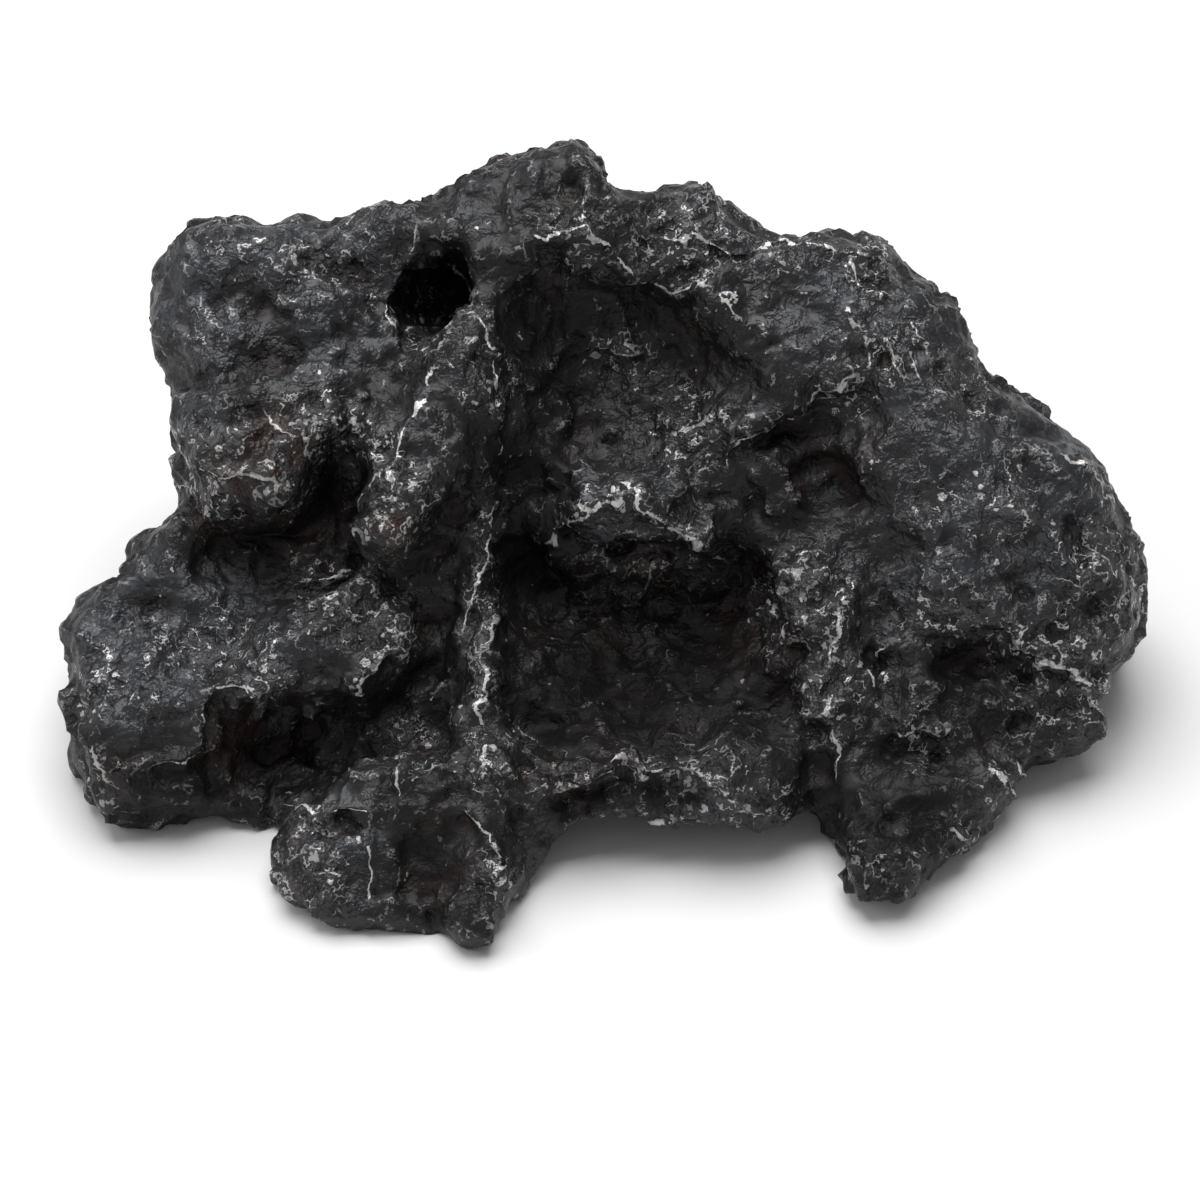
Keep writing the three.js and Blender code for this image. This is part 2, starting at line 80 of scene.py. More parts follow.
# Edges and creases seen on the face: width, height, the lift of the side on the left of the path, and
# the path as (across, up)
strokes = [
    # the finger between the hole and the upper hollow
    (1.5, 0.8, 0.0, [(-13.5, 29.5), (-12.2, 27.5), (-10.8, 24), (-10.5, 20), (-10.5, 17), (-12, 12)]),
    (1.4, 0.7, 0.0, [(-19.5, 14.5), (-21.5, 12), (-24, 8), (-22.5, 5.5)]),
    (1.8, 0.9, 0.0, [(-16, 25), (-17.5, 20), (-20, 15), (-20.8, 10)]),
    # the shoulder's front rim, with its notch
    (1.6, 0.7, 0.8, [(-42, 16), (-40, 13), (-37, 12), (-33, 12.5), (-31, 11)]),
    (1.5, 0.7, 0.6, [(-33.8, 20), (-32.5, 17.5), (-30, 16), (-26, 18), (-22, 17)]),
    (2.2, -0.9, 0.0, [(-31, 19.2), (-33.8, 17), (-34.8, 13.8)]),
    # the rim of the hole
    (1.3, 0.6, 0.0, [(-17.5, 38.5), (-18.7, 36), (-20, 33.5), (-21.7, 28.7), (-20, 25.5)]),
    (1.3, 0.7, 0.0, [(-16, 25.5), (-13.5, 29.5), (-12, 30.2), (-13, 32.2), (-16, 34.5)]),
    # the shelf: its front rim, and the dim slope behind its bright top
    (1.5, 0.7, 0.9, [(-48.4, -17.7), (-46.1, -16.5), (-41.4, -16.4), (-40.1, -15), (-39.7, -13.5),
                     (-39.4, -9.9), (-38.4, -8.9), (-36.1, -8.6), (-34.1, -9.6), (-30.8, -8.9),
                     (-29.8, -8.1)]),
    (3.0, -0.6, -0.5, [(-30, 0.2), (-36, -0.4), (-43, -0.6), (-50, -0.4)]),
    (2.0, -0.8, 0.0, [(-41, 8), (-38.5, 6), (-37, 1)]),
    (1.6, 0.6, 0.0, [(-52, -11.5), (-50, -14.5), (-48.8, -19)]),
    # the block beside the shelf
    (1.5, 0.9, 0.9, [(-25.5, -10), (-22.5, -6.8), (-20, -4), (-18.7, 0)]),
    (1.3, 0.6, 0.0, [(-30, 0), (-29, 2), (-25, 2.5), (-23, 1)]),
    (1.2, 0.6, 0.0, [(-17.5, -10.5), (-14.5, -8)]),
    # the spine down the middle of the left half
    (1.4, 0.7, 0.0, [(-11.5, 10), (-11.5, 6), (-12, 4), (-13, 0), (-13.8, -4)]),
    (1.3, 0.6, 0.0, [(-10.3, 1), (-11, -2), (-11.5, -5), (-11.8, -9), (-11.5, -14), (-12, -19)]),
    (1.6, -0.7, 0.0, [(-12.2, 0), (-12.6, -5), (-13, -10)]),
    # the upper hollow's rim
    (1.4, 0.8, -0.5, [(-10, 33.8), (-8, 35.5), (-4, 36.8), (-1.2, 37.5), (0, 36), (2.5, 34), (4, 32.5),
                      (6.5, 31.3), (10, 31.2), (12.8, 30.7), (14.5, 28), (16, 26)]),
    (1.2, 0.6, 0.0, [(-1, 25.5), (2.5, 24.2), (5, 24.8)]),
    (1.2, 0.5, 0.0, [(6.5, 16), (10, 17.5), (13.5, 19.5)]),
    # the ridge between the two hollows
    (1.5, 1.2, 0.7, [(-6.5, 4.5), (-4.5, 6.2), (-3, 7.8), (-1, 9.2), (0.5, 9.8), (4, 9.6), (6, 8.5),
                     (7.5, 7.5), (9, 6.6), (11, 5.5), (13.5, 3.5)]),
    (1.1, 0.5, 0.0, [(6, 4.5), (5.2, 2.5), (4.5, 0.5)]),
    # the lower lip
    (1.3, 1.4, 0.9, [(-6, -19.5), (-3, -18.8), (-1, -18.3), (1.5, -16.2), (3.2, -16.5), (4.7, -17.5),
                     (7.5, -17), (10, -17.6), (14, -20.5), (16.5, -21.5)]),
    (1.6, -1.0, 0.0, [(-5, -21), (-1, -19.9), (1.5, -18.2), (4, -18.6), (7, -19.2), (10.5, -21)]),
    (1.2, 0.5, 0.0, [(-2.5, -22.2), (-0.7, -22), (1.1, -21.2), (3.6, -22), (9, -21.5)]),
    # the fold on the right, dark beneath
    (1.6, 0.9, 1.1, [(13, 12.2), (13, 14.5), (16, 17.5), (20, 20), (24.5, 22), (27, 22.5)]),
    (1.6, -0.6, 0.0, [(14.5, 13), (17.5, 16.5), (21, 18.8), (25, 20.8)]),
    # ridges behind the upper hollow
    (1.4, 0.7, 0.4, [(4.5, 36.5), (10, 36), (13, 34), (16.5, 33.5)]),
    (1.4, 0.7, 0.4, [(14, 35), (19, 35.4), (24, 35.2), (28, 35)]),
    (1.5, 0.8, 0.0, [(25, 35), (26, 31.5), (29, 30)]),
    (2.4, -0.8, 0.0, [(4, 37.8), (9, 37.4), (13.5, 35.7)]),
    (2.2, -0.8, 0.0, [(-15, 41), (-10, 39.5), (-4, 39.5), (-1, 42)]),
    # the right shoulder's crease and the light facet above it
    (2.0, -0.8, 0.6, [(34.5, 24.5), (37, 21), (40, 18), (43.5, 15.5)]),
    (1.3, 0.5, 0.0, [(43.5, 15.5), (47.5, 13), (50, 10)]),
    # striations down the right slope
    (0.9, 0.5, 0.0, [(24.5, 30), (26.5, 26), (28, 21.5)]),
    (0.9, 0.5, 0.0, [(26.2, 30.2), (28.5, 26), (30.5, 21)]),
    (0.9, 0.5, 0.0, [(28, 30), (30.5, 25.5), (32.5, 20.5)]),
    (0.9, 0.5, 0.0, [(29.7, 30.2), (32.5, 25.5), (35, 20)]),
    (0.8, -0.3, 0.0, [(25.3, 30.2), (27.5, 25.8), (29.2, 21.2)]),
    (0.8, -0.3, 0.0, [(27.1, 30.2), (29.6, 25.8), (31.5, 20.8)]),
    # the ragged lower right
    (1.5, 1.0, 0.9, [(40.5, -3), (43, -5), (47, -6.5), (48.5, -8), (51.3, -9.7)]),
    (1.6, -0.8, 0.0, [(29, -6.8), (35, -6.2), (40, -6.8), (45, -9)]),
    (1.3, 0.7, 0.6, [(29, -13.5), (32, -13), (35, -13.5)]),
    (1.2, 0.6, 0.0, [(30.5, -4), (28, -5), (26.6, -7.5), (27.2, -10.5), (29.5, -12)]),
    (1.1, 0.6, 0.0, [(38.5, -16.5), (40, -18), (42.2, -20)]),
    (1.1, 0.6, 0.0, [(40, -15.7), (41.8, -17.2), (43.4, -18.6)]),
    (1.1, 0.6, 0.0, [(34.5, -22.5), (36, -23.8), (38.5, -25)]),
    (1.4, 0.7, 0.0, [(22, -8), (23.2, -12), (24, -16), (23.8, -20)]),
    (1.4, 0.8, 0.5, [(25, 3), (24.2, 0), (23.2, -4), (22, -8)]),
    (1.4, 0.6, 0.0, [(16, 1), (17.8, -1.5), (20, -5)]),
    # the left foot
    (1.4, 0.9, 0.7, [(-20.5, -14.5), (-20, -16.5), (-20, -19), (-20.8, -22)]),
    (1.4, 1.0, 0.0, [(-14.5, -20), (-12.2, -22), (-11, -24), (-10.3, -27), (-10.3, -30.5)]),
    (1.2, 0.6, 0.0, [(-33, -20), (-30, -21.2), (-25.5, -20.8), (-20.8, -22)]),
    (1.2, 0.6, 0.0, [(-23.5, -23), (-22.8, -27), (-23.8, -30.5)]),
]

# Round dents and lumps seen on the face: (across, up), radius, height
spots = [
    ((22.5, 12), 3.4, -1.1), ((27.2, -6), 1.9, -0.8), ((29.3, -9.7), 2.0, -0.8),
    ((23.6, -26.7), 1.9, -0.6), ((25.8, -28.7), 1.5, -0.5), ((-19, 25.3), 1.5, -1.0),
    ((-8.3, -22.2), 1.7, -0.9), ((3.5, 0), 1.6, 0.9), ((2.5, 23.8), 2.0, 0.7), ((12, 18.5), 2.2, 0.6),
    ((-28, -10.5), 2.6, 0.9), ((-30, 8), 3.0, -0.9), ((47.5, -12.5), 2.4, 0.8), ((45, -15), 1.6, 0.6),
    ((42, -12.5), 2.0, -0.9), ((36.5, -10), 2.6, -0.9), ((-43, 30), 3.6, -0.7), ((-35, 30), 4.2, -0.6),
    ((-27, 33), 3.4, -0.6), ((-33, 24), 3.6, -0.7), ((-9.5, 43), 3.2, -0.6), ((-4, 42), 2.4, -0.7),
    ((8, 39.5), 2.6, -0.6), ((20, 31.5), 3.2, -0.6), ((33, 27), 3.0, -0.6), ((40, 13), 4.0, -0.6),
    ((34, 12), 4.6, -0.7), ((30, 4), 4.0, -0.7), ((41, 4), 4.6, -0.7), ((49, 6), 3.4, -0.7),
    ((50, -1), 3.0, -0.7), ((35, -1), 3.4, -0.6), ((-49, -5), 4.0, -0.6), ((-41, -6), 4.4, -0.7),
    ((-34, -4), 3.6, -0.6), ((-48, 3), 2.6, -0.5), ((-17, -26), 4.6, -0.8), ((-17, -2), 2.8, -0.7),
    ((-17, -14.5), 3.4, -0.8), ((-24, -14), 3.0, -0.7), ((-4, 30), 4.6, -0.6), ((4, 29), 4.0, -0.6),
    ((-3, 18), 4.4, -0.6), ((9, 25.5), 4.0, -0.6), ((-6, 0), 4.4, -0.7), ((2, -8), 5.0, -0.7),
    ((12, -4), 5.0, -0.7), ((-4, -13), 3.6, -0.7), ((10, -14), 3.4, -0.6), ((19, 6), 3.2, -0.6),
    ((17, -9), 3.2, -0.6), ((14, 22), 2.6, -0.6),
]

# Where rims are worn and carry painted glints, where the skin is brown, and where it is finely pitted,
# each patch as (across, up), radius, strength
wornGlintPatches = [
    ((-38.5, 12.5), 5.5, 1.0), ((-42, 14), 3.0, 1.0), ((-21, 9.5), 4.5, 1.0), ((-22.5, 16), 3.0, 0.7),
    ((-25, 0), 5.0, 1.0), ((-21.5, -5), 3.0, 0.9), ((-29, -26), 5.0, 1.0), ((-11.5, 0), 2.4, 0.5),
    ((-11.3, 8), 2.4, 0.5), ((-11.5, -9), 2.4, 0.5), ((-10.5, -16), 3.6, 0.8), ((-4, -18), 3.0, 0.9),
    ((3, -17), 2.6, 0.7), ((10, -19), 5.5, 1.0), ((1, 10), 3.2, 0.6), ((7, 7.5), 2.6, 0.7),
    ((20, 1), 5.0, 1.0), ((23, -10), 4.0, 1.0), ((46, -7), 6.0, 1.0), ((41, -4), 3.5, 0.8),
    ((33, -13.5), 3.5, 0.8), ((25, -27.5), 4.0, 0.7), ((10, 35.5), 5.0, 0.9), ((5, 36), 3.5, 0.7),
    ((26, 33.8), 4.0, 1.0), ((20, 35), 4.0, 0.8), ((28, 25.5), 5.0, 0.6), ((37, 21), 4.0, 0.6),
    ((9, 17), 4.5, 0.9), ((2, 24), 3.5, 0.8), ((25, 21.5), 3.5, 0.8), ((50, 4), 6.0, 0.5),
    ((52, 11), 4.0, 0.5), ((-51, -9), 4.0, 0.6), ((-47, -6), 6.0, 0.5), ((-38, -4), 5.0, 0.5),
    ((-49, -19), 4.0, 0.6), ((-36, 36), 5.0, 0.5), ((-23, 38.5), 4.0, 0.6), ((-20, 31), 4.0, 0.6),
    ((-11, -28), 3.0, 0.7), ((-19, -15), 3.5, 0.7), ((40, -18.5), 4.0, 0.6), ((36.5, -24), 3.0, 0.6),
    ((-17, 27), 3.0, 0.8), ((-2, 36), 4.0, 0.8), ((-40, -23), 2.0, 0.4), ((-11, 22), 3.5, 0.7),
    ((35, 4), 6.0, 0.35), ((40, 13), 6.0, 0.3), ((-32, -29), 4.0, 0.7), ((17, -20), 3.0, 0.7),
    ((0, -23), 3.0, 0.5), ((-30, 33), 4.0, 0.8), ((-25, 33.5), 3.0, 0.6), ((-13.5, 27.5), 2.6, 0.8),
    ((-13, 23), 2.6, 0.6), ((-28.5, 17.5), 4.2, 1.0), ((-32.5, 12), 3.8, 1.0), ((40, 9), 5.0, 0.7),
    ((54, -0.5), 3.2, 1.0), ((34, -1), 4.5, 0.7), ((21, -4), 4.6, 1.0), ((10, -18), 4.0, 1.0),
    ((-33, -6), 3.4, 0.9), ((-40, 27), 4.0, 0.4), ((33, 10), 5.0, 0.4), ((30, -26), 3.0, 0.6),
    ((4, 4.5), 5.0, 0.5), ((9, 4), 4.0, 0.5), ((-1, 3), 3.0, 0.4),
]
brownPatches = [
    ((-33, 15.5), 4.0, 1.0), ((-37, 10), 5.0, 0.7), ((-30, 8), 5.0, 0.6), ((-21, 7), 3.0, 0.6),
    ((-49, -18), 3.5, 0.4), ((-34, -14), 6.0, 0.6), ((-4, -19), 4.0, 0.6), ((2, -8), 9.0, 0.45),
    ((14, -5), 6.0, 0.5), ((36.5, -24), 3.5, 0.7), ((23.5, 13), 5.0, 0.35), ((10, 0), 8.0, 0.35),
    ((-16, -26), 5.0, 0.4), ((-31, -26), 4.0, 0.4), ((41, -19), 3.0, 0.4), ((4, 3.5), 6.0, 0.7),
]
pittedPatches = [
    ((-37, 21), 8.0, 0.7), ((-40, 13), 6.0, 1.0), ((-46, -6), 8.0, 0.8), ((-29, -26), 6.0, 1.0),
    ((44, 4), 9.0, 0.6), ((35, 10), 9.0, 0.5), ((28, 0), 8.0, 0.5), ((10, -19), 5.0, 0.9),
    ((46, -9), 6.0, 0.9), ((20, -1), 6.0, 0.9), ((5, 12), 6.0, 0.5), ((-36, 35), 9.0, 0.6),
    ((10, 38), 6.0, 0.5), ((25, -27), 5.0, 0.7), ((-25, 0), 6.0, 0.8), ((4, 4), 7.0, 0.7),
]

# Painted shade in the hollows, under lips and on faces turned from the light: (across, up), radius,
# strength
paintedShadePatches = [
    ((0, -6.5), 8.0, 1.0), ((10, -6.5), 8.0, 1.0), ((-32, 2.5), 4.5, 0.45), ((-25, 4), 3.5, 0.7),
    ((-39, 5), 4.5, 0.2), ((-47, -19.5), 5.0, 0.8), ((-41, -19), 4.0, 0.8), ((-51, -15), 3.0, 0.6),
    ((-36, 12), 5.0, 0.4), ((-8, 42), 7.0, 0.22), ((-25, -3), 5.0, 0.25), ((20, 2), 5.0, 0.25),
    ((27, -28), 5.0, 0.6), ((22, -23), 4.0, 0.7), ((33, -18), 6.0, 0.6), ((-3.5, -20.6), 2.2, 1.0),
    ((-0.5, -19.6), 2.0, 1.0), ((2.5, -18.4), 2.0, 1.0), ((5.5, -19), 2.0, 1.0), ((9, -20.4), 2.0, 0.9),
    ((4, -10), 8.0, 1.0), ((12, -12), 6.0, 0.9), ((-3, -9), 7.0, 1.0), ((8, -13), 6.0, 0.9),
    ((26, -24), 6.0, 0.9), ((32, -22), 6.0, 0.8), ((22, -18), 5.0, 0.7), ((-15, -27), 5.0, 0.7),
    ((36, -9), 6.0, 0.7), ((44, -12), 4.0, 0.5), ((-4, 26), 8.0, 0.6), ((8, 22), 6.0, 0.5),
    ((-8, 14), 6.0, 0.7), ((20, 12), 6.0, 0.5), ((30, -16), 7.0, 0.5), ((-36, -22), 6.0, 0.4),
    ((23, -20), 5.0, 0.5), ((-4, -12), 7.0, 1.0), ((16, -10), 7.0, 0.9), ((-7, 4), 5.0, 0.9),
    ((14, 3), 6.0, 0.8), ((-4, 20), 7.0, 0.5), ((6, 30), 6.0, 0.5), ((-17, 32), 5.0, 0.4),
    ((-35, 7), 6.0, 0.75), ((-17, -26), 6.0, 0.7), ((-17, -17), 5.0, 0.5), ((34, -19), 5.0, 0.4),
    ((-26, 10), 4.0, 0.9), ((-33, -16), 5.0, 0.6), ((40, -10), 4.0, 0.6), ((28, -25), 4.0, 0.7),
    ((-7, 30), 5.0, 0.6), ((20, 17), 4.0, 0.6),
]

# Painted light, where the skin is lightest: (across, up), radius, strength
paintedLightPatches = [
    ((-47, -5), 7.0, 1.0), ((-39, -5), 8.0, 1.0), ((-32, -4), 5.0, 0.6), ((-48, -12), 5.0, 0.5),
    ((-41, 30), 7.0, 0.8), ((-33, 34), 8.0, 0.8), ((-24, 34), 6.0, 0.6), ((-27, 26), 5.0, 0.6),
    ((-13, 43), 6.0, 0.15), ((30, 25), 7.0, 0.5), ((37, 12), 7.0, 0.8), ((33, 4), 6.0, 0.9),
    ((42, 5), 7.0, 0.7), ((47, 9), 6.0, 0.6), ((24, 31), 5.0, 0.5), ((12, 36), 5.0, 0.2),
    ((22, 1), 4.0, 0.35), ((0, 12), 4.0, 0.4), ((10, -18), 5.0, 1.0), ((-26, -25), 5.0, 0.6),
    ((-23, 0), 5.0, 0.2), ((47, 16), 5.0, 0.7), ((2, 24), 4.0, 0.5), ((-42, 19), 5.0, 0.6),
    ((3, 3.5), 6.0, 0.9), ((10, 3), 5.0, 0.8),
]

# Hollows that get no painted shade: (across, up), radius, strength
unshadedPatches = [((4, 3), 8.0, 1.0), ((10, 2.5), 5.0, 0.8)]

# Small pulls that bring the outline to its true place: (across, up), radius, pull
pulls = [
    ((-3, 47), 3.2, (0.3, 1.1)), ((9.5, 41), 4.5, (0.4, 0.9)), ((-21, 39.5), 5.0, (0, 0.9)),
    ((-36, -25), 6.5, (0.5, -1.8)), ((21, -27), 6.0, (0.8, -2.0)), ((53.5, -3), 8.0, (1.1, 0)),
    ((49, 14), 6.0, (0.9, 0.6)), ((-48.5, 33), 6.0, (-0.8, 0.3)), ((23, 36), 4.0, (0, 1.2)),
    ((-51.5, -8), 7.0, (-0.8, 0)), ((-48, 14), 5.0, (0.9, 0)),
]

# Two deep places of the solid that the face shows shallower. The wall under the ridge stands across
# the stone's own Y, and the floor under the shoulder is given as it is seen on the face.
ridgeWall = {
    "x": (-9.0, 16.0),
    "y": (0.3, 13.0),           # where the wall stands, and the furthest point that it takes
    "z": (10.4, 22.6),
    "soft": (3.0, 0.3),         # over what length it ends, along x and along z
    "rough": (4.0, 0.7),        # length and height of its waves
    "share": 0.94,              # how much of the depth behind the wall is closed
}
shoulderFloor = {
    "across": (-42.0, -22.5),
    "up": (-1.5, 8.5),
    "soft": (3.0, 1.2),
    "rough": (4.0, 0.6),
    "out": -4.5,                # the floor's height at the face's zero point
    "slope": -0.3,
    "deepest": -14.0,           # nothing deeper than this is raised
}

random = np.random.default_rng(stone["seed"])
lean = math.radians(view["lean"])
towardsViewer = np.array([0.0, -math.cos(lean), math.sin(lean)])
upTheFace = np.array([0.0, math.sin(lean), math.cos(lean)])


# A random value from 0 to 1 for every lattice cell. The large numbers only scatter its bits.
def lattice(cell, salt):
    x, y, z = np.moveaxis(cell.astype(np.int64), -1, 0)
    mixed = (x * 73856093) ^ (y * 19349663) ^ (z * 83492791) ^ (salt * 2654435761)
    mixed = (mixed ^ (mixed >> 13)) * 1274126177 & 0xFFFFFFFF
    mixed = (mixed ^ (mixed >> 15)) * 2246822519 & 0xFFFFFFFF
    return ((mixed ^ (mixed >> 16)) & 0xFFFFFF) / 0xFFFFFF


# Smooth random values from -1 to 1 at points measured in lattice cells
def softNoise(points, salt):
    cell = np.floor(points)
    t = points - cell
    t = t * t * (3 - 2 * t)
    total = np.zeros(len(points))
    for dx in (0, 1):
        for dy in (0, 1):
            for dz in (0, 1):
                weight = (t[:, 0] if dx else 1 - t[:, 0])
                weight = weight * (t[:, 1] if dy else 1 - t[:, 1])
                weight = weight * (t[:, 2] if dz else 1 - t[:, 2])
                total += weight * lattice(cell + (dx, dy, dz), salt)
    return total * 2 - 1


# Broken facets: every cell round a random seed is a plane tilted its own way
def chippedRelief(points, salt):
    sharpness = 34
    steepness = 2.2
    home = np.floor(points)
    total = np.zeros(len(points))
    weights = np.zeros(len(points))
    for dx in (-1, 0, 1):
        for dy in (-1, 0, 1):
            for dz in (-1, 0, 1):
                cell = home + (dx, dy, dz)
                middle = cell + np.stack([lattice(cell, salt + n) for n in (0, 1, 2)], axis=1)
                tilt = np.stack([lattice(cell, salt + n) for n in (3, 4, 5)], axis=1) - 0.5
                away = points - middle
                weight = np.exp(-sharpness * np.sum(away * away, axis=1)) + 1e-12
                level = lattice(cell, salt + 6)
                total += weight * (steepness * np.sum(tilt * away, axis=1) + level - 0.5)
                weights += weight
    return total / weights


# The fine skin as arrays: points in millimetres, triangles, and the pairs of points that an edge joins
class Skin:
    def __init__(self, mesh):
        self.points = np.empty(len(mesh.vertices) * 3)
        mesh.vertices.foreach_get("co", self.points)
        self.points = self.points.reshape(-1, 3)
        self.edges = np.empty(len(mesh.edges) * 2, dtype=np.int64)
        mesh.edges.foreach_get("vertices", self.edges)
        self.edges = self.edges.reshape(-1, 2)
        mesh.calc_loop_triangles()
        self.triangles = np.empty(len(mesh.loop_triangles) * 3, dtype=np.int64)
        mesh.loop_triangles.foreach_get("vertices", self.triangles)
        self.triangles = self.triangles.reshape(-1, 3)
        self.degree = np.bincount(self.edges.ravel(), minlength=len(self.points)).astype(float)
        self.degree[self.degree == 0] = 1

    def average(self, values):
        a, b = self.edges.T
        count = len(self.points)
        if values.ndim == 1:
            total = np.bincount(a, values[b], count) + np.bincount(b, values[a], count)
            return total / self.degree
        return np.stack([self.average(values[:, n]) for n in range(values.shape[1])], axis=1)

    def smooth(self, values, rounds, share=0.5):
        for _ in range(rounds):
            values = values + share * (self.average(values) - values)
        return values

    def normals(self):
        a, b, c = (self.points[self.triangles[:, n]] for n in range(3))
        face = np.cross(b - a, c - a)
        total = np.zeros_like(self.points)
        for n in range(3):
            for axis in range(3):
                total[:, axis] += np.bincount(self.triangles[:, n], face[:, axis], len(self.points))
        return total / np.maximum(np.linalg.norm(total, axis=1, keepdims=True), 1e-12)


# Where every point is seen on the face, and how fully it is in view, from 0 to 1
def seenFromFront(skin):
    fromMiddle = skin.points - np.array(view["middle"])
    out = fromMiddle @ towardsViewer
    nearer = view["distance"] / (view["distance"] - out)
    across = fromMiddle[:, 0] * nearer
    up = (fromMiddle @ upTheFace) * nearer
    column = ((across + view["reach"]) / view["cell"]).astype(int)
    row = ((up + view["reach"]) / view["cell"]).astype(int)
    cells = math.ceil(2 * view["reach"] / view["cell"])
    front = np.full((cells, cells), -1e9)
    np.maximum.at(front, (row, column), out)
    behind = front[row, column] - out
    facing = np.clip(skin.normals() @ towardsViewer * 3 + 0.6, 0, 1)    # nought where it turns away
    inView = np.clip((view["hidden"] - behind) / view["fade"], 0, 1) * facing
    return across, up, skin.smooth(inView, 3)


# Distance from every point to a path, the share of the path passed, and the side (left is positive)
def alongPath(across, up, path):
    path = np.array(path, dtype=float)
    lengths = np.linalg.norm(np.diff(path, axis=0), axis=1)
    nearest = np.full(len(across), 1e9)
    share = np.zeros(len(across))
    side = np.zeros(len(across))
    passed = 0.0
    for start, end, length in zip(path[:-1], path[1:], lengths):
        along = (end - start) / length
        a = across - start[0]
        u = up - start[1]
        t = np.clip(a * along[0] + u * along[1], 0, length)
        away = np.hypot(a - t * along[0], u - t * along[1])
        closer = away < nearest
        nearest[closer] = away[closer]
        share[closer] = (passed + t[closer]) / lengths.sum()
        side[closer] = np.sign(along[0] * u - along[1] * a)[closer]
        passed += length
    return nearest, share, side


def pullOutline(skin):
    across, up, _ = seenFromFront(skin)
    for centre, radius, pull in pulls:
        away = np.hypot(across - centre[0], up - centre[1]) / radius
        share = np.clip(1 - away * away, 0, 1) ** 2
        skin.points += share[:, None] * (pull[0] * np.array([1.0, 0, 0]) + pull[1] * upTheFace)


# One between the limits and nought outside them, with soft ends
def within(values, limits, soft):
    return np.clip((values - limits[0]) / soft, 0, 1) * np.clip((limits[1] - values) / soft, 0, 1)


def waves(skin, rough, salt):
    length, height = rough
    return height * softNoise(skin.points / length, salt)


def fillDeepPlaces(skin):
    wall = ridgeWall
    x, y, z = skin.points.T
    behind = np.clip(y - wall["y"][0] - waves(skin, wall["rough"], 91), 0, None) * (y < wall["y"][1])
    softX, softZ = wall["soft"]
    behind = behind * within(x, wall["x"], softX) * within(z, wall["z"], softZ)
    floor = shoulderFloor
    across, up, _ = seenFromFront(skin)
    out = (skin.points - np.array(view["middle"])) @ towardsViewer
    level = floor["out"] + floor["slope"] * up + waves(skin, floor["rough"], 93)
    short = np.clip(level - out, 0, None) * (out > floor["deepest"])
    softAcross, softUp = floor["soft"]
    short = short * within(across, floor["across"], softAcross) * within(up, floor["up"], softUp)
    leastMove = 0.05
    moved = (behind + short > leastMove).astype(float)
    skin.points[:, 1] -= wall["share"] * behind
    skin.points += short[:, None] * towardsViewer
    # evens out the points where they were pushed together, and a little round them
    rounds = 14
    settle = np.clip(skin.smooth(moved, 6) * 1.5, 0, 1)[:, None]
    for _ in range(rounds):
        skin.points = skin.points + 0.5 * settle * (skin.average(skin.points) - skin.points)


# The raised lip round a dent, one at its highest, for distances in radii of the dent
def lip(away, width):
    return np.exp(-((away - 1.08) / width) ** 2)


# How the strokes and spots are raised
carving = {
    "lineReach": 1.5,       # how far to the sides of a crest its bright line may wander
    "crestReach": 1.4,      # how far from its line a crest is worn and glints at all
    "brightRise": 0.3,      # crests higher than this are worn, with a painted glint line
    "boldRise": 0.75,       # those higher than this have a wider bright line
    "taper": 6,             # how fast a stroke fades in and out along its path
    "tip": 0.15,            # and what is left of it at its very ends
    "stepEdge": 0.5,        # half the width of a step's slope
    "stepReach": 2.6,       # how far a step goes, in widths of its stroke
    "spotLip": (0.22, 0.22),    # height and width of the lip round a spot, as shares of the spot's
}


# Raises the strokes and spots. Returns how near each point is to a raised line, from 0 to 1, and how
# far to the side of it, in millimetres.
def carveStrokes(skin):
    across, up, inView = seenFromFront(skin)
    for n, (size, reach) in enumerate(stone["wobble"]):
        across = across + reach * softNoise(skin.points / size, 71 + 3 * n)
        up = up + reach * softNoise(skin.points / size, 72 + 3 * n)
    height = np.zeros(len(skin.points))
    crest = np.zeros(len(skin.points))
    crestSide = np.full(len(skin.points), carving["lineReach"])
    nearest = crestSide.copy()
    for width, rise, step, path in strokes:
        away, share, side = alongPath(across, up, path)
        bold = max(1.0, rise / carving["boldRise"])
        ends = np.clip(np.minimum(share, 1 - share) * carving["taper"], carving["tip"], 1)
        height += ends * rise * np.clip(1 - away / width, 0, 1) ** 1.4
        if rise > carving["brightRise"]:
            closer = away < nearest
            nearest[closer] = away[closer]
            crestSide[closer] = (side * away)[closer] / bold
            wornAndGlint = np.clip(1 - away / carving["crestReach"], 0, 1)
            crest = np.maximum(crest, min(1, rise) * ends * wornAndGlint)
        slope = np.tanh(away / carving["stepEdge"])
        reach = carving["stepReach"] * width
        height += ends * step * side * slope * np.clip(1 - away / reach, 0, 1) ** 2
    lipHeight, lipWidth = carving["spotLip"]
    for centre, radius, rise in spots:
        away = np.hypot(across - centre[0], up - centre[1]) / radius
        height += rise * np.clip(1 - away * away, 0, 1) ** 1.5
        height += -lipHeight * rise * lip(away, lipWidth)
    skin.points += (height * inView)[:, None] * skin.smooth(skin.normals(), 4)
    return crest * np.clip(2 * inView, 0, 1), crestSide


